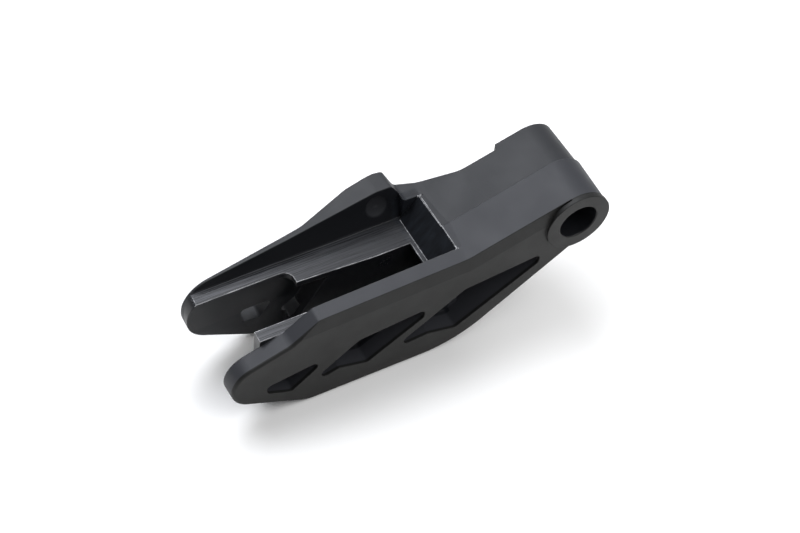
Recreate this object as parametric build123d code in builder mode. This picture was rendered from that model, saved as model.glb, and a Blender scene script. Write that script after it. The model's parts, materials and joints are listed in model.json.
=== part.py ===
# Moulded chain guide for a motorbike: one plastic moulding.
# X runs along the guide towards the boss, Y across it, Z up. The origin is the middle of the bore.
# The near side faces -Y and the far side +Y. The two halves meet at the parting plane, Y = 0.
# Millimetres and degrees throughout.
import os
from math import asin, cos, radians, sin, tan

from build123d import *

os.makedirs("parts", exist_ok=True)

# Bore, and the boss round it. Each half has its own round, a little above the bore's centre.
bore_diameter = 14.0
bore_lead_in = 0.3
boss_width = 36.0
near_boss_radius = 11.8
near_boss_rise = 0.6
far_boss_radius = 11.1
far_boss_rise = 0.9
near_pad_radius = 12.0
pad_root = 0.5
far_step_x = -12.8
far_step_run = 0.6

# Draft of the two halves
near_draft = 1.2
far_draft = 1.4
near_edge_round = 1.0

# Faces across the width
near_face = -17.0
tongue_far_face = 16.0
cheek_far_face = 20.5
nose_far_face = 17.0
flare_start = -27.0
flare_rate = 0.33

# Tongue and bottom of the side view
base_depth = 44.3
tongue_top_slope = 17.0
tongue_underside_slope = 35.5
knee_x = -41.0

# Near cheek's top and nose
cheek_fall = 2.1
near_crest_x = -96.5
near_step_run = 10.0
near_step_drop = 7.5
near_nose_slope = 18.8
near_chin_slope = 26.2
near_tip_x = -127.8
near_nose_radius = 10.3

# Far cheek's top and nose
far_crest_x = -91.0
far_nose_slope = 8.5
far_chin_slope = 30.5
far_tip_x = -130.3
far_brow_share = 0.54
far_chin_share = 0.42

# Facet along the top edge of the near side
facet_height = 6.0
facet_lean = 1.0
facet_end_x = -106.0

# Chain channel between the cheeks
channel_depth = 10.1
channel_near_wall = -10.5
channel_far_wall = 15.2
ramp_top_x = -42.5
ramp_run = 7.0
relief_run = 2.8
near_relief = 0.35
far_relief = 0.4
recess_end_x = -48.9
recess_wall = 16.1
recess_lean = 14.2

# Central slot and the ledges beside it
slot_near_wall = -6.2
slot_far_wall = 4.6
slot_flare_x = -65.0
slot_end_x = -41.5
lip_run = 1.6
lip_thickness = 1.5
near_ledge_end_x = -114.7
far_ledge_step_x = -93.0
far_ledge_edge = 6.2
slab_face = 11.6
slab_lean = 3.6
flange_thickness = 2.5
step_round = 3.5
flange_root_x = -81.7
flange_root_lean = 28.5

# Raised lug on the far cheek
lug_height = 4.3
lug_bulge = 6.8
lug_depth = 16.0
lug_back_x = -51.0
lug_crest_length = 6.5
lug_back_run = 2.8
dimple_diameter = 8.8
dimple_depth = 0.9
dimple_x = -57.4
dimple_drop = 2.1

# Lightening pockets
web = 2.8
pocket_corner = 1.8
pocket_drawn_height = 34.6042

# How far cutting shapes run past the moulding
past = 60.0


def touch_point(radius, rise, slope, side):
    """Where a line at this slope touches a round of the boss: side is 1 above it and -1 below it."""
    return (-side * radius * sin(radians(slope)), rise + side * radius * cos(radians(slope)))


def on_line(point, slope, x):
    """Height at x of the line through a point, rising towards the boss at this slope."""
    return point[1] + (x - point[0]) * tan(radians(slope))


def side_plane(y):
    """Upright plane along the guide at y. Extrusions from it run towards the near side."""
    return Plane.XZ.offset(-y)


def side_outline(points, radii, boss_end):
    """Side view: straight runs with rounded corners, closed round the boss."""
    run = FilletPolyline(*points, radius=radii)
    ThreePointArc(run @ 1, boss_end, run @ 0)


# Key points of the side view, as (x, z)
base = -base_depth
near_top = touch_point(near_boss_radius, near_boss_rise, tongue_top_slope, 1)
near_under = touch_point(near_boss_radius, near_boss_rise, tongue_underside_slope, -1)
near_knee = (knee_x, on_line(near_top, tongue_top_slope, knee_x))
near_heel = (near_under[0] - (near_under[1] - base) / tan(radians(tongue_underside_slope)), base)
far_top = touch_point(far_boss_radius, far_boss_rise, tongue_top_slope, 1)
far_under = touch_point(far_boss_radius, far_boss_rise, tongue_underside_slope, -1)
far_knee = (knee_x, on_line(far_top, tongue_top_slope, knee_x))
far_heel = (far_under[0] - (far_under[1] - base) / tan(radians(tongue_underside_slope)), base)

# Near nose: one round between the line that falls to it and the line of the chin
near_crest = (near_crest_x, near_knee[1] - cheek_fall)
cheek_slope = cheek_fall / (knee_x - near_crest_x)
near_step = (near_crest[0] - near_step_run, near_crest[1] - near_step_drop)
round_x = near_tip_x + near_nose_radius
round_z = on_line(near_step, near_nose_slope, round_x) - near_nose_radius / cos(radians(near_nose_slope))
chin_z = round_z - near_nose_radius / cos(radians(near_chin_slope))
base_front = (round_x + (chin_z - base) / tan(radians(near_chin_slope)), base)
nose_gap = on_line(near_step, near_nose_slope, round_x) - chin_z
nose_run = nose_gap / (tan(radians(near_nose_slope)) + tan(radians(near_chin_slope)))
near_nose = (round_x - nose_run, on_line(near_step, near_nose_slope, round_x - nose_run))

# Far nose: a blunt front with two rounds, which share its height
far_crest = (far_crest_x, near_crest[1])
far_brow = (far_tip_x, on_line(far_crest, far_nose_slope, far_tip_x))
far_chin = (far_tip_x, on_line(base_front, -far_chin_slope, far_tip_x))
far_front = far_brow[1] - far_chin[1]
far_brow_radius = far_brow_share * far_front / tan(radians(90 - far_nose_slope) / 2)
far_chin_radius = far_chin_share * far_front / tan(radians(90 - far_chin_slope) / 2)

lug_top = far_knee[1] + lug_height
lug_foot = (lug_back_x + lug_back_run, far_knee[1])
lug_front_x = lug_back_x - lug_crest_length

near_outline = [near_top, near_knee, near_crest, near_step, near_nose, base_front, near_heel, near_under]
near_radii = [14.0, 3.0, 7.0, near_nose_radius, 14.0, 40.0]
far_outline = [far_top, far_knee, lug_foot, (lug_back_x, lug_top), (lug_front_x, lug_top), far_crest,
               far_brow, far_chin, base_front, far_heel, far_under]
far_radii = [10.0, 1.2, 2.5, 12.0, 4.0, far_brow_radius, far_chin_radius, 14.0, 40.0]

# Plan of the far side, from the boss to the nose
lug_face = cheek_far_face + lug_bulge
flare_end = (lug_foot[0] - 0.8, tongue_far_face + flare_rate * (flare_start - lug_foot[0] + 0.8))
far_plan = [(near_pad_radius + past, boss_width / 2), (far_step_x, boss_width / 2),
            (far_step_x - far_step_run, tongue_far_face), (flare_start, tongue_far_face), flare_end,
            (lug_back_x + 0.4, lug_face - 0.5), (lug_back_x - 3.5, lug_face), (lug_front_x - 8, lug_face - 1.2),
            (lug_front_x - 27, cheek_far_face), (far_tip_x, nose_far_face), (far_tip_x - past, nose_far_face)]
far_plan_radii = [0.4, 0.3, 12.0, 0.8, 1.0, 3.0, 10.0, 14.0, 10.0]

# Levels in the channel
ledge = near_knee[1] - channel_depth
open_top = near_knee[1] + past
lean_rate = tan(radians(recess_lean))
slab_rate = tan(radians(slab_lean))
ramp_foot_x = ramp_top_x - ramp_run
lip_end_x = ramp_foot_x - lip_run
flange_bottom = ledge - flange_thickness

# Pocket outlines, drawn on a cheek of pocket_drawn_height between base and ledge: x, then the height.
# A height below 0 hangs from the ledge, any other stands on the base.
def pocket_outline(corners):
    """Corners of a pocket, which keep their share of the cheek's height."""
    share = (ledge - base) / pocket_drawn_height
    return [(x, (ledge if height < 0 else base) + height * share) for x, height in corners]


near_nose_pocket = pocket_outline([(-115.2, -17.2), (-91.9, -13.4), (-105.6, 9.6), (-114.4, 13.6)])
far_nose_pocket = pocket_outline([(-110.5, -13.5), (-98.0, -13.8), (-102.4, 13.0), (-109.0, 13.3)])
middle_pocket = pocket_outline([(-101.6, 7.9), (-81.2, -10.8), (-56.3, -8.2), (-56.6, -12.2),
                                (-77.2, 9.1), (-88.0, 12.1)])
tongue_pocket = pocket_outline([(-68.3, 10.4), (-41.4, -5.3), (-12.5, -2.1), (-12.9, -6.2),
                                (-43.4, 9.1), (-54.0, 11.7)])

with BuildPart() as guide_body:
    # Near half, from the parting plane to its outer face
    with BuildSketch(side_plane(0)):
        with BuildLine():
            side_outline(near_outline, near_radii, (near_boss_radius, near_boss_rise))
        make_face()
    extrude(amount=-near_face, taper=near_draft)
    fillet(faces().sort_by(Axis.Y)[0].edges(), near_edge_round)

    # Facet that leans in along the near side's top edge
    with BuildLine():
        facet_path = Polyline((near_top[0], 0, near_top[1]), (near_knee[0], 0, near_knee[1]),
                              (facet_end_x, 0, near_knee[1] - (knee_x - facet_end_x) * cheek_slope))
    with BuildSketch(Plane(facet_path @ 0, x_dir=(0, -1, 0), z_dir=facet_path % 0)):
        Polygon((-near_face, -facet_height), (-near_face - facet_lean, 0), (-near_face - facet_lean, facet_height),
                (-near_face + facet_height, facet_height), (-near_face + facet_height, -facet_height), align=None)
    sweep(path=facet_path, transition=Transition.RIGHT, mode=Mode.SUBTRACT)

    # Far half, from the parting plane to the lug's outer face
    with BuildSketch(side_plane(0)):
        with BuildLine():
            side_outline(far_outline, far_radii, (far_boss_radius, far_boss_rise))
        make_face()
    extrude(amount=-lug_face, taper=far_draft)

    # Plan of the far side: tongue, flare, lug and cheek
    with BuildSketch(Plane.XY.offset(base - past)):
        with BuildLine():
            far_run = FilletPolyline(*far_plan, radius=far_plan_radii)
            Polyline(far_run @ 1, (far_tip_x - past, lug_face + past), (near_pad_radius + past, lug_face + past),
                     far_run @ 0)
        make_face()
    extrude(amount=base_depth + 2 * past, mode=Mode.SUBTRACT)

    # Underneath, the lug and the end of the flare slope back into the cheek
    lug_bottom = lug_top - lug_depth
    with BuildSketch(Plane.YZ.offset(flare_start)):
        Polygon((cheek_far_face, lug_bottom), (cheek_far_face + past, lug_bottom + past),
                (cheek_far_face + past, base - past), (cheek_far_face, base - past), align=None)
    extrude(amount=-2 * past, mode=Mode.SUBTRACT)

    # Round pad on the near side of the boss
    with BuildSketch(side_plane(-boss_width / 2)):
        Circle(near_pad_radius)
    extrude(amount=-(near_face + boss_width / 2 + pad_root))

    # Channel between the cheeks, open above, ending in a ramp
    front = far_tip_x - past
    with BuildSketch(side_plane(channel_far_wall)):
        Polygon((ramp_foot_x, ledge), (ramp_top_x, near_knee[1]), (ramp_top_x, open_top),
                (front, open_top), (front, ledge), align=None)
    extrude(amount=channel_far_wall - channel_near_wall, mode=Mode.SUBTRACT)

    # Shallow relief behind the ramp's top edge, one on each half
    for start, width, top, depth in ((0, -channel_near_wall, near_top, near_relief),
                                     (channel_far_wall, channel_far_wall, far_top, far_relief)):
        relief_end_x = ramp_top_x + relief_run
        with BuildSketch(side_plane(start)):
            Polygon((ramp_top_x, on_line(top, tongue_top_slope, ramp_top_x) - depth),
                    (relief_end_x, on_line(top, tongue_top_slope, relief_end_x)),
                    (relief_end_x, open_top), (ramp_top_x, open_top), align=None)
        extrude(amount=width, mode=Mode.SUBTRACT)

    # Past the ramp the far wall stands further out and leans outwards
    with BuildSketch(Plane.YZ.offset(recess_end_x)):
        Polygon((channel_far_wall, ledge), (recess_wall, ledge),
                (recess_wall + (open_top - ledge) * lean_rate, open_top), (channel_far_wall, open_top), align=None)
    extrude(amount=front - recess_end_x, mode=Mode.SUBTRACT)

    # Shallow dish in the lug's inner face
    dish_z = far_knee[1] - dimple_drop
    dish_spot = (dimple_x, recess_wall + (dish_z - ledge) * lean_rate, dish_z)
    wall_out = (0, -cos(radians(recess_lean)), sin(radians(recess_lean)))
    dish_edge = dimple_diameter / 2
    dish_radius = (dish_edge ** 2 + dimple_depth ** 2) / (2 * dimple_depth)
    half_way = asin(dish_edge / dish_radius) / 2
    with BuildSketch(Plane(dish_spot, x_dir=(1, 0, 0), z_dir=(0, -wall_out[2], wall_out[1]))):
        with BuildLine():
            ThreePointArc((0, -dimple_depth), (dish_radius * sin(half_way),
                          dish_radius - dimple_depth - dish_radius * cos(half_way)), (dish_edge, 0))
            Polyline((dish_edge, 0), (0, 0), (0, -dimple_depth))
        make_face()
    revolve(axis=Axis(dish_spot, wall_out), mode=Mode.SUBTRACT)

    # Central slot, open above and below, and running in under the ramp below the lip
    slot_plan = [(slot_end_x, slot_near_wall), (slot_end_x, slot_far_wall), (slot_flare_x, slot_far_wall),
                 (far_ledge_step_x, far_ledge_edge), (front, far_ledge_edge), (front, slot_near_wall)]
    with BuildSketch(Plane.XY.offset(base - past)):
        Polygon(*slot_plan, align=None)
    extrude(amount=ledge - lip_thickness - base + past, mode=Mode.SUBTRACT)
    slot_plan[0] = (lip_end_x, slot_near_wall)
    slot_plan[1] = (lip_end_x, slot_far_wall)
    with BuildSketch(Plane.XY.offset(ledge - 2 * lip_thickness)):
        Polygon(*slot_plan, align=None)
    extrude(amount=past, mode=Mode.SUBTRACT)

    # The near ledge stands level to its end, though the cheek beside it falls
    with BuildSketch(side_plane(slot_near_wall)):
        Polygon((near_ledge_end_x, ledge), (near_crest_x, ledge), (near_crest_x, round_z),
                (near_ledge_end_x, round_z), align=None)
    extrude(amount=slot_near_wall - channel_near_wall)
    with BuildSketch(Plane.YZ.offset(near_ledge_end_x)):
        Polygon((channel_near_wall, open_top), (channel_near_wall, base - past), (0, base - past),
                (0, open_top), align=None)
    extrude(amount=front - near_ledge_end_x, mode=Mode.SUBTRACT)

    # The far ledge narrows in a step, where the leaning inner face of the far cheek is bare
    with BuildSketch(Plane.YZ.offset(far_ledge_step_x)):
        Polygon((0, open_top), (slab_face, open_top), (slab_face, ledge),
                (slab_face + past * slab_rate, ledge - past), (0, ledge - past), align=None)
    extrude(amount=front - far_ledge_step_x, mode=Mode.SUBTRACT)

    # The corner of the step is rounded
    with BuildSketch(Plane.XY.offset(flange_bottom)):
        with Locations((far_ledge_step_x + web, slab_face + web)):
            Rectangle(step_round + web, step_round + web, align=(Align.MAX, Align.MAX))
        with Locations((far_ledge_step_x - step_round, slab_face - step_round)):
            Circle(step_round, mode=Mode.SUBTRACT)
    extrude(amount=flange_thickness)

    # Before that step the ledge is a thin flange, and the slot is wide beneath it
    root_lean = radians(flange_root_lean)
    root_top = slab_face + flange_thickness * slab_rate
    with BuildSketch(Plane((flange_root_x, 0, flange_bottom), x_dir=(0, 1, 0),
                           z_dir=(-cos(root_lean), 0, sin(root_lean)))):
        Polygon((0, 0), (root_top, 0), (root_top + past * cos(root_lean) * slab_rate, past), (0, past), align=None)
    extrude(amount=flange_root_x - front, dir=(-1, 0, 0), mode=Mode.SUBTRACT)

    # Bore, with a lead-in at each end
    with BuildSketch(side_plane(boss_width / 2)):
        Circle(bore_diameter / 2)
    extrude(amount=boss_width, mode=Mode.SUBTRACT)
    bore_rims = [edge for edge in edges().filter_by(GeomType.CIRCLE) if edge.radius == bore_diameter / 2]
    chamfer(bore_rims, bore_lead_in)

    # Lightening pockets, near side
    near_floor = slot_near_wall - web
    for corners in (near_nose_pocket, middle_pocket, tongue_pocket):
        with BuildSketch(side_plane(near_floor)):
            Polygon(*corners, align=None)
            fillet(vertices(), pocket_corner)
        extrude(amount=near_floor - near_face + web, mode=Mode.SUBTRACT)

    # Behind the slot the tongue's pockets reach a web in the middle, from both sides
    for floor, depth in ((-web / 2, -near_face), (web / 2, -boss_width)):
        with BuildSketch(side_plane(floor)):
            Polygon(*tongue_pocket, align=None)
            fillet(vertices(), pocket_corner)
            with Locations((slot_end_x + web, 0)):
                Rectangle(past, 2 * past, align=(Align.MIN, Align.CENTER), mode=Mode.INTERSECT)
        extrude(amount=depth, mode=Mode.SUBTRACT)

    # Lightening pockets, far side. Where the slot is wide they open into it.
    far_floor = far_ledge_edge + web
    for corners in (far_nose_pocket, middle_pocket, tongue_pocket):
        with BuildSketch(side_plane(far_floor)):
            Polygon(*corners, align=None)
            fillet(vertices(), pocket_corner)
        extrude(amount=far_floor - cheek_far_face - web, mode=Mode.SUBTRACT)

guide_body.part.label = "guide_body"
export_step(guide_body.part, "parts/guide_body.step")
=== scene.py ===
"""Looks of a moulded chain guide: one black plastic moulding on a white studio floor.

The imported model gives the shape. This script gives it its surface, the floor, the light and the camera.
Names that end in _mm or _MM are millimetres; everything in the scene is metres.
"""
import json
from math import cos, radians, sin

import bpy
from mathutils import Matrix, Vector

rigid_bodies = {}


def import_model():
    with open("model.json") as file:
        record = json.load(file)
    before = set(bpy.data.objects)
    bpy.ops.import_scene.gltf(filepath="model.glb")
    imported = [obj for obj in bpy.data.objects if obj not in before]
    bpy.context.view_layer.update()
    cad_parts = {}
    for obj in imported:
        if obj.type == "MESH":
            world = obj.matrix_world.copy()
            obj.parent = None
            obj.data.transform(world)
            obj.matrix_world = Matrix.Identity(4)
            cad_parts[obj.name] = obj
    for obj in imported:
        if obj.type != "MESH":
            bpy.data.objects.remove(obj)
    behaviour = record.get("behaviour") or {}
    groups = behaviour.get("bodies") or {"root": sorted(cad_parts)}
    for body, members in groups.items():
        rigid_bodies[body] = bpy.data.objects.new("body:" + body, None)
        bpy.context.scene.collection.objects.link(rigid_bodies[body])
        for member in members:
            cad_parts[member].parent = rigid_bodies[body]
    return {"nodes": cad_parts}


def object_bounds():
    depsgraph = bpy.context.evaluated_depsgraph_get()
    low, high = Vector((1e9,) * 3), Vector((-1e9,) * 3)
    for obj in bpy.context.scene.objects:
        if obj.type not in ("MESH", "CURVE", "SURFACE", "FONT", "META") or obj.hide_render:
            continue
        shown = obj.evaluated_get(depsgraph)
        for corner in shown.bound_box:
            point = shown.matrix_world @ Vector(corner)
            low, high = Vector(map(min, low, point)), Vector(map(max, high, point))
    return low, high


MM = 0.001

# Camera, as the photograph was taken
AZIMUTH = -33.81
ELEVATION = 51.82
ROLL = 6.77
FOCAL_PIXELS = 2300.0
FRAME_WIDTH = 800.0
SENSOR_MM = 36.0
NEAR_BORE_END_MM = (0.0, -18.0, 0.0)
PIXELS_PER_MM = 2.99
BORE_END_OFFSET = (178.58, 44.36)

# Where the surfaces of the moulding lie
NEAR_WALL_MM = -10.55
FAR_WALL_MM = 18.65
WALL_LEAN = 0.253
RAMP_TOP_MM = -42.0
LEDGE_MM = -9.7
RAMP_EDGE_MM = -42.7
RAMP_EDGE_REACH_MM = 0.8
RAMP_FOOT_MM = -51.3
SIDE_FACE_MM = -16.0
BORE_RADIUS_MM = 7.0

# Sizes of the rounded edges and of the patterns in the skin
EDGE_RADIUS_MM = 0.5
GRAIN_MM = 0.35
CLOUD_MM = 12
DRAG_LENGTH_MM = 25
DRAG_PITCH_MM = 0.4
FLOW_HEIGHT_MM = 6
FLOW_WIDTH_MM = 1.5
SKIN_HEIGHT_MM = 0.03

# Half the floor's width, in metres, and the point that the lamps face
FLOOR_REACH = 2.0
GUIDE_MIDDLE_MM = (-60, 0, -20)


def linear(hex_colour):
    """Linear RGBA of an sRGB hex colour."""
    parts = [int(hex_colour[i:i + 2], 16) / 255 for i in (1, 3, 5)]
    return (*[c / 12.92 if c <= 0.04045 else ((c + 0.055) / 1.055) ** 2.4 for c in parts], 1.0)


def add_node(tree, kind, settings=None, links=None):
    """Adds a node. Settings name attributes or input sockets, links the input sockets and the outputs they take."""
    node = tree.nodes.new(kind)
    for name, value in (settings or {}).items():
        if isinstance(name, str) and hasattr(node, name) and name not in node.inputs:
            setattr(node, name, value)
        else:
            node.inputs[name].default_value = value
    for name, output in (links or {}).items():
        tree.links.new(output, node.inputs[name])
    return node


def new_material(name):
    material = bpy.data.materials.new(name)
    material.use_nodes = True
    material.node_tree.nodes.clear()
    return material, material.node_tree


def moulded_plastic():
    """Injection-moulded black polyethylene.

    A spark-eroded mould leaves the outside matte and faintly mottled. The channel, the ledges, the ramp and the bore
    come off polished steel: they reflect their surroundings, with drag marks along the ledges, and their darker tint
    is partly the deeper black of polished plastic and partly painted shade for the little light that reaches in.
    """
    material, tree = new_material("injection_moulded_polyethylene")
    place = add_node(tree, "ShaderNodeTexCoord").outputs["Object"]
    place_mm = add_node(tree, "ShaderNodeVectorMath", {"operation": "SCALE", "Scale": 1 / MM}, {0: place}).outputs[0]
    axes = add_node(tree, "ShaderNodeSeparateXYZ", links={0: place_mm}).outputs

    # Inside the channel: past the near wall, this side of the leaning far wall, and in front of the ramp's top edge
    past_near = add_node(tree, "ShaderNodeMapRange", {"From Min": NEAR_WALL_MM - 0.2, "From Max": NEAR_WALL_MM},
                         {"Value": axes["Y"]}).outputs[0]
    leaned = add_node(tree, "ShaderNodeMath", {"operation": "MULTIPLY_ADD", 1: -WALL_LEAN},
                      {0: axes["Z"], 2: axes["Y"]})
    before_far = add_node(tree, "ShaderNodeMapRange", {"From Min": FAR_WALL_MM + 0.2, "From Max": FAR_WALL_MM},
                          {"Value": leaned.outputs[0]}).outputs[0]
    before_ramp = add_node(tree, "ShaderNodeMapRange", {"From Min": RAMP_TOP_MM + 0.2, "From Max": RAMP_TOP_MM},
                           {"Value": axes["X"]}).outputs[0]
    across = add_node(tree, "ShaderNodeMath", {"operation": "MULTIPLY"}, {0: past_near, 1: before_far}).outputs[0]
    inside = add_node(tree, "ShaderNodeMath", {"operation": "MULTIPLY"}, {0: across, 1: before_ramp}).outputs[0]

    # The bore comes off a polished core pin; its darker tint there is partly painted shade inside the hole
    from_axis = add_node(tree, "ShaderNodeVectorMath", {"operation": "MULTIPLY", 1: (1.0, 0.0, 1.0)}, {0: place_mm})
    radius = add_node(tree, "ShaderNodeVectorMath", {"operation": "LENGTH"},
                      {0: from_axis.outputs[0]}).outputs["Value"]
    bore = add_node(tree, "ShaderNodeMath", {"operation": "LESS_THAN", 1: BORE_RADIUS_MM + 0.1},
                    {0: radius}).outputs[0]
    polished_and_shaded = add_node(tree, "ShaderNodeMath", {"operation": "MAXIMUM"}, {0: inside, 1: bore}).outputs[0]

    # The ledges, with the first half millimetre of the sides below them
    off_level = add_node(tree, "ShaderNodeMath", {"operation": "SUBTRACT", 1: LEDGE_MM}, {0: axes["Z"]}).outputs[0]
    height = add_node(tree, "ShaderNodeMath", {"operation": "ABSOLUTE"}, {0: off_level}).outputs[0]
    level = add_node(tree, "ShaderNodeMapRange", {"From Min": 0.8, "From Max": 0.5}, {"Value": height}).outputs[0]
    ledge = add_node(tree, "ShaderNodeMath", {"operation": "MULTIPLY"}, {0: level, 1: inside}).outputs[0]

    # The ramp: behind its foot and above the ledges' level
    above = add_node(tree, "ShaderNodeMath", {"operation": "GREATER_THAN", 1: LEDGE_MM + 0.3},
                     {0: axes["Z"]}).outputs[0]
    above = add_node(tree, "ShaderNodeMath", {"operation": "MULTIPLY"}, {0: above, 1: across}).outputs[0]
    past_foot = add_node(tree, "ShaderNodeMapRange", {"From Min": RAMP_FOOT_MM - 1.0, "From Max": RAMP_FOOT_MM},
                         {"Value": axes["X"]}).outputs[0]
    ramp = add_node(tree, "ShaderNodeMath", {"operation": "MULTIPLY"}, {0: past_foot, 1: inside}).outputs[0]

    # Spark-eroded grain, 0.2 mm across on the real part and drawn at 0.35 mm so that it shows
    grain = add_node(tree, "ShaderNodeTexNoise", {"Scale": 1 / GRAIN_MM, "Detail": 2.0},
                     {"Vector": place_mm}).outputs["Fac"]
    # Slow clouds about 12 mm across, from uneven cooling
    cloud = add_node(tree, "ShaderNodeTexNoise", {"Scale": 1 / CLOUD_MM, "Detail": 3.0},
                     {"Vector": place_mm}).outputs["Fac"]
    # Drag marks of the slides: 0.4 mm apart and some 25 mm long
    drawn_out = add_node(tree, "ShaderNodeMapping",
                         {"Scale": (1 / DRAG_LENGTH_MM, 1 / DRAG_PITCH_MM, 1 / DRAG_PITCH_MM)},
                         {"Vector": place_mm}).outputs[0]
    drag = add_node(tree, "ShaderNodeTexNoise", {"Scale": 1.0, "Detail": 4.0, "Roughness": 0.65},
                    {"Vector": drawn_out}).outputs["Fac"]

    # Flow marks on the ramp: patches 1.5 mm wide and 6 mm tall
    tall = add_node(tree, "ShaderNodeMapping",
                    {"Scale": (1 / FLOW_HEIGHT_MM, 1 / FLOW_WIDTH_MM, 1 / FLOW_HEIGHT_MM)},
                    {"Vector": place_mm}).outputs[0]
    flow = add_node(tree, "ShaderNodeTexNoise", {"Scale": 1.0, "Detail": 5.0, "Roughness": 0.6},
                    {"Vector": tall}).outputs["Fac"]
    streak = add_node(tree, "ShaderNodeMapRange", {"From Min": 0.35, "From Max": 0.75}, {"Value": flow}).outputs[0]
    streak = add_node(tree, "ShaderNodeMath", {"operation": "MULTIPLY"}, {0: streak, 1: ramp}).outputs[0]

    matte = add_node(tree, "ShaderNodeMapRange", {"From Min": 0.3, "From Max": 0.7, "To Min": 0.46, "To Max": 0.56},
                     {"Value": cloud}).outputs[0]
    polished = add_node(tree, "ShaderNodeMapRange",
                        {"From Min": 0.3, "From Max": 0.7, "To Min": 0.26, "To Max": 0.38},
                        {"Value": cloud}).outputs[0]
    dragged = add_node(tree, "ShaderNodeMapRange", {"From Min": 0.35, "From Max": 0.65, "To Min": 0.2, "To Max": 0.5},
                       {"Value": drag}).outputs[0]
    gloss = add_node(tree, "ShaderNodeMix", {"data_type": "FLOAT"}, {0: polished_and_shaded, 2: matte, 3: polished}).outputs[0]
    gloss = add_node(tree, "ShaderNodeMix", {"data_type": "FLOAT"}, {0: ledge, 2: gloss, 3: dragged}).outputs[0]

    # Every moulded edge is rounded by half a millimetre. On the ledges and the ramp's top edge, stretches of the
    # edges carry a painted highlight in near white
    soft_edge = add_node(tree, "ShaderNodeBevel", {"samples": 6, "Radius": EDGE_RADIUS_MM * MM}).outputs[0]
    facing = add_node(tree, "ShaderNodeNewGeometry").outputs["True Normal"]
    flatness = add_node(tree, "ShaderNodeVectorMath", {"operation": "DOT_PRODUCT"}, {0: soft_edge, 1: facing})
    edge = add_node(tree, "ShaderNodeMapRange", {"From Min": 0.98, "From Max": 0.88},
                    {"Value": flatness.outputs["Value"]}).outputs[0]
    off_ramp = add_node(tree, "ShaderNodeMath", {"operation": "SUBTRACT", 1: RAMP_EDGE_MM}, {0: axes["X"]}).outputs[0]
    ramp_edge = add_node(tree, "ShaderNodeMath", {"operation": "COMPARE", 1: 0.0, 2: RAMP_EDGE_REACH_MM},
                         {0: off_ramp}).outputs[0]
    ramp_edge = add_node(tree, "ShaderNodeMath", {"operation": "MULTIPLY"}, {0: ramp_edge, 1: above}).outputs[0]
    off_wall = add_node(tree, "ShaderNodeMapRange", {"From Min": FAR_WALL_MM - 1.0, "From Max": FAR_WALL_MM - 1.5},
                        {"Value": leaned.outputs[0]}).outputs[0]
    highlight_places = add_node(tree, "ShaderNodeMath", {"operation": "MULTIPLY"}, {0: ledge, 1: off_wall}).outputs[0]
    highlight_places = add_node(tree, "ShaderNodeMath", {"operation": "MAXIMUM"}, {0: highlight_places, 1: ramp_edge}).outputs[0]
    highlight_strength = add_node(tree, "ShaderNodeMapRange", {"From Min": 0.42, "From Max": 0.6, "To Min": 0.25},
                    {"Value": flow}).outputs[0]
    highlight_strength = add_node(tree, "ShaderNodeMath", {"operation": "MULTIPLY"}, {0: highlight_strength, 1: highlight_places}).outputs[0]
    painted_edge_highlight = add_node(tree, "ShaderNodeMath", {"operation": "MULTIPLY"}, {0: edge, 1: highlight_strength}).outputs[0]

    # The near half (y below zero) takes a lighter tint than the far half, and the side face with its facet is painted
    # darker: painted shade for the vertical faces
    near_half = add_node(tree, "ShaderNodeMapRange", {"From Min": 0.1, "From Max": 0.0},
                         {"Value": axes["Y"]}).outputs[0]
    tint = add_node(tree, "ShaderNodeMix", {"data_type": "RGBA", 6: linear("#28292c"), 7: linear("#313236")},
                    {0: near_half}).outputs[2]
    # Painted shade: the near side face and its facet get a darker tint than the tops
    side_painted_shade = add_node(tree, "ShaderNodeMapRange", {"From Min": SIDE_FACE_MM + 0.1, "From Max": SIDE_FACE_MM},
                    {"Value": axes["Y"]}).outputs[0]
    tint = add_node(tree, "ShaderNodeMix", {"data_type": "RGBA", 7: linear("#151514")}, {0: side_painted_shade, 6: tint}).outputs[2]
    # Darker tint in the channel and the bore: partly the deeper black of polished plastic, partly painted shade where
    # little light gets in
    polished_black_and_painted_shade = add_node(tree, "ShaderNodeMix", {"data_type": "RGBA", 6: linear("#191a1d"), 7: linear("#26292e")},
                     {0: streak}).outputs[2]
    tint = add_node(tree, "ShaderNodeMix", {"data_type": "RGBA"}, {0: polished_and_shaded, 6: tint, 7: polished_black_and_painted_shade}).outputs[2]
    scuff = add_node(tree, "ShaderNodeMapRange", {"From Min": 0.45, "From Max": 0.75, "To Min": 0.0, "To Max": 0.8},
                     {"Value": drag}).outputs[0]
    towards_nose = add_node(tree, "ShaderNodeMapRange", {"From Min": -55.0, "From Max": -120.0, "To Min": 0.1},
                            {"Value": axes["X"]}).outputs[0]
    slid = add_node(tree, "ShaderNodeMath", {"operation": "MULTIPLY"}, {0: ledge, 1: towards_nose}).outputs[0]
    scuffed = add_node(tree, "ShaderNodeMath", {"operation": "MULTIPLY"}, {0: scuff, 1: slid}).outputs[0]
    tint = add_node(tree, "ShaderNodeMix", {"data_type": "RGBA", 7: linear("#74757a")},
                    {0: scuffed, 6: tint}).outputs[2]
    # Painted highlight: near-white colour laid on the rounded edges of the ledges and the ramp's top edge
    tint = add_node(tree, "ShaderNodeMix", {"data_type": "RGBA", 7: linear("#f0f0f2")},
                    {0: painted_edge_highlight, 6: tint}).outputs[2]

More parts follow.
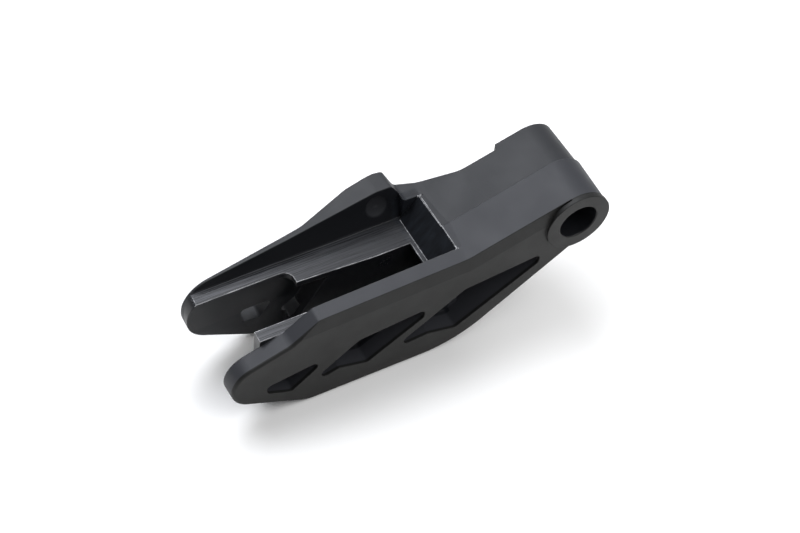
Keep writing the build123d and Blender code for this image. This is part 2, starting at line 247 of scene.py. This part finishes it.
    # The grain stands a few hundredths of a millimetre high, and the drag marks less
    rough_skin = add_node(tree, "ShaderNodeMix", {"data_type": "FLOAT", 3: 0.5}, {0: inside, 2: grain}).outputs[0]
    skin = add_node(tree, "ShaderNodeMix", {"data_type": "FLOAT"}, {0: ledge, 2: rough_skin, 3: drag}).outputs[0]
    bump = add_node(tree, "ShaderNodeBump", {"Strength": 0.5, "Distance": SKIN_HEIGHT_MM * MM},
                    {"Height": skin, "Normal": soft_edge}).outputs[0]
    shader = add_node(tree, "ShaderNodeBsdfPrincipled", {"IOR": 1.5, "Specular IOR Level": 0.3},
                      {"Base Color": tint, "Roughness": gloss, "Normal": bump})
    add_node(tree, "ShaderNodeOutputMaterial", links={"Surface": shader.outputs["BSDF"]})
    return material


def studio_floor(level):
    """White paper sweep: a little whiter to the camera than to the object, so that it reads as pure white."""
    mesh = bpy.data.meshes.new("floor")
    half = FLOOR_REACH
    mesh.from_pydata([(-half, -half, level), (half, -half, level), (half, half, level), (-half, half, level)],
                     [], [(0, 1, 2, 3)])
    floor = bpy.data.objects.new("floor", mesh)
    bpy.context.collection.objects.link(floor)
    material, tree = new_material("white_paper")
    rays = add_node(tree, "ShaderNodeLightPath").outputs
    seen = add_node(tree, "ShaderNodeMath", {"operation": "ADD", "use_clamp": True},
                    {0: rays["Is Camera Ray"], 1: rays["Is Glossy Ray"]}).outputs[0]
    seen = add_node(tree, "ShaderNodeMath", {"operation": "ADD", "use_clamp": True},
                    {0: seen, 1: rays["Is Transmission Ray"]}).outputs[0]
    white = add_node(tree, "ShaderNodeMix", {"data_type": "RGBA", 6: linear("#e6e3dc"), 7: (1.0, 0.99, 0.97, 1)},
                     {0: seen}).outputs[2]
    paper = add_node(tree, "ShaderNodeBsdfDiffuse", links={"Color": white})
    add_node(tree, "ShaderNodeOutputMaterial", links={"Surface": paper.outputs["BSDF"]})
    mesh.materials.append(material)


def area_light(name, place_mm, size_mm, power, colour="#ffffff", aim_mm=GUIDE_MIDDLE_MM):
    light = bpy.data.lights.new(name, "AREA")
    light.shape = "RECTANGLE"
    light.size, light.size_y = (s * MM for s in size_mm)
    light.energy = power
    light.color = linear(colour)[:3]
    holder = bpy.data.objects.new(name, light)
    bpy.context.collection.objects.link(holder)
    holder.location = Vector(place_mm) * MM
    holder.rotation_mode = "QUATERNION"
    holder.rotation_quaternion = (Vector(aim_mm) * MM - holder.location).to_track_quat("-Z", "Y")


def camera():
    """The photograph's camera: its angles, and how far the near end of the bore lies from the picture's centre."""
    az, el, roll = radians(AZIMUTH), radians(ELEVATION), radians(ROLL)
    back = Vector((sin(az) * cos(el), -cos(az) * cos(el), sin(el)))
    level = (-back).cross(Vector((0, 0, 1))).normalized()
    upright = level.cross(-back)
    right = level * cos(roll) + upright * sin(roll)
    up = upright * cos(roll) - level * sin(roll)
    distance = FOCAL_PIXELS / PIXELS_PER_MM
    across, above = (offset * distance / FOCAL_PIXELS for offset in BORE_END_OFFSET)
    place = Vector(NEAR_BORE_END_MM) + back * distance - right * across - up * above
    lens = bpy.data.cameras.new("camera")
    lens.sensor_width = SENSOR_MM
    lens.lens = FOCAL_PIXELS / FRAME_WIDTH * SENSOR_MM
    lens.clip_start, lens.clip_end = 0.01, 10.0
    holder = bpy.data.objects.new("camera", lens)
    bpy.context.collection.objects.link(holder)
    holder.matrix_world = Matrix.Translation(place * MM) @ Matrix((right, up, back)).transposed().to_4x4()
    bpy.context.scene.camera = holder


def studio_sky(low, high):
    """Light tent: dim at the horizon and beyond the noses, full from about 53 degrees up."""
    sky = bpy.data.worlds.new("studio")
    sky.use_nodes = True
    tree = sky.node_tree
    tree.nodes.clear()
    direction = add_node(tree, "ShaderNodeTexCoord").outputs["Generated"]
    axes = add_node(tree, "ShaderNodeSeparateXYZ", links={0: direction}).outputs
    strength = add_node(tree, "ShaderNodeMapRange", {"From Min": 0.0, "From Max": 0.8, "To Min": low, "To Max": high},
                        {"Value": axes["Z"]}).outputs[0]
    dimmed = add_node(tree, "ShaderNodeMapRange", {"From Min": -0.7, "From Max": 0.1, "To Min": 0.15},
                      {"Value": axes["X"]}).outputs[0]
    strength = add_node(tree, "ShaderNodeMath", {"operation": "MULTIPLY"}, {0: strength, 1: dimmed}).outputs[0]
    glow = add_node(tree, "ShaderNodeBackground", {"Color": linear("#f9fbff")}, {"Strength": strength})
    add_node(tree, "ShaderNodeOutputWorld", links={"Surface": glow.outputs[0]})
    bpy.context.scene.world = sky


for thing in list(bpy.data.objects):
    bpy.data.objects.remove(thing)
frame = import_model()
cad_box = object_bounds()

guide = frame["nodes"]["guide_body"]
guide.data.materials.clear()
guide.data.materials.append(moulded_plastic())

studio_floor(cad_box[0].z)
camera()
studio_sky(0.1, 0.9)
area_light("back_softbox", (-200, 420, 850), (900, 500), 8.0, "#f6f9ff")
area_light("front_fill", (400, -450, 850), (800, 500), 4.0)
area_light("low_softbox", (300, 900, 300), (600, 300), 2.5)
bpy.context.scene.view_settings.view_transform = "Standard"
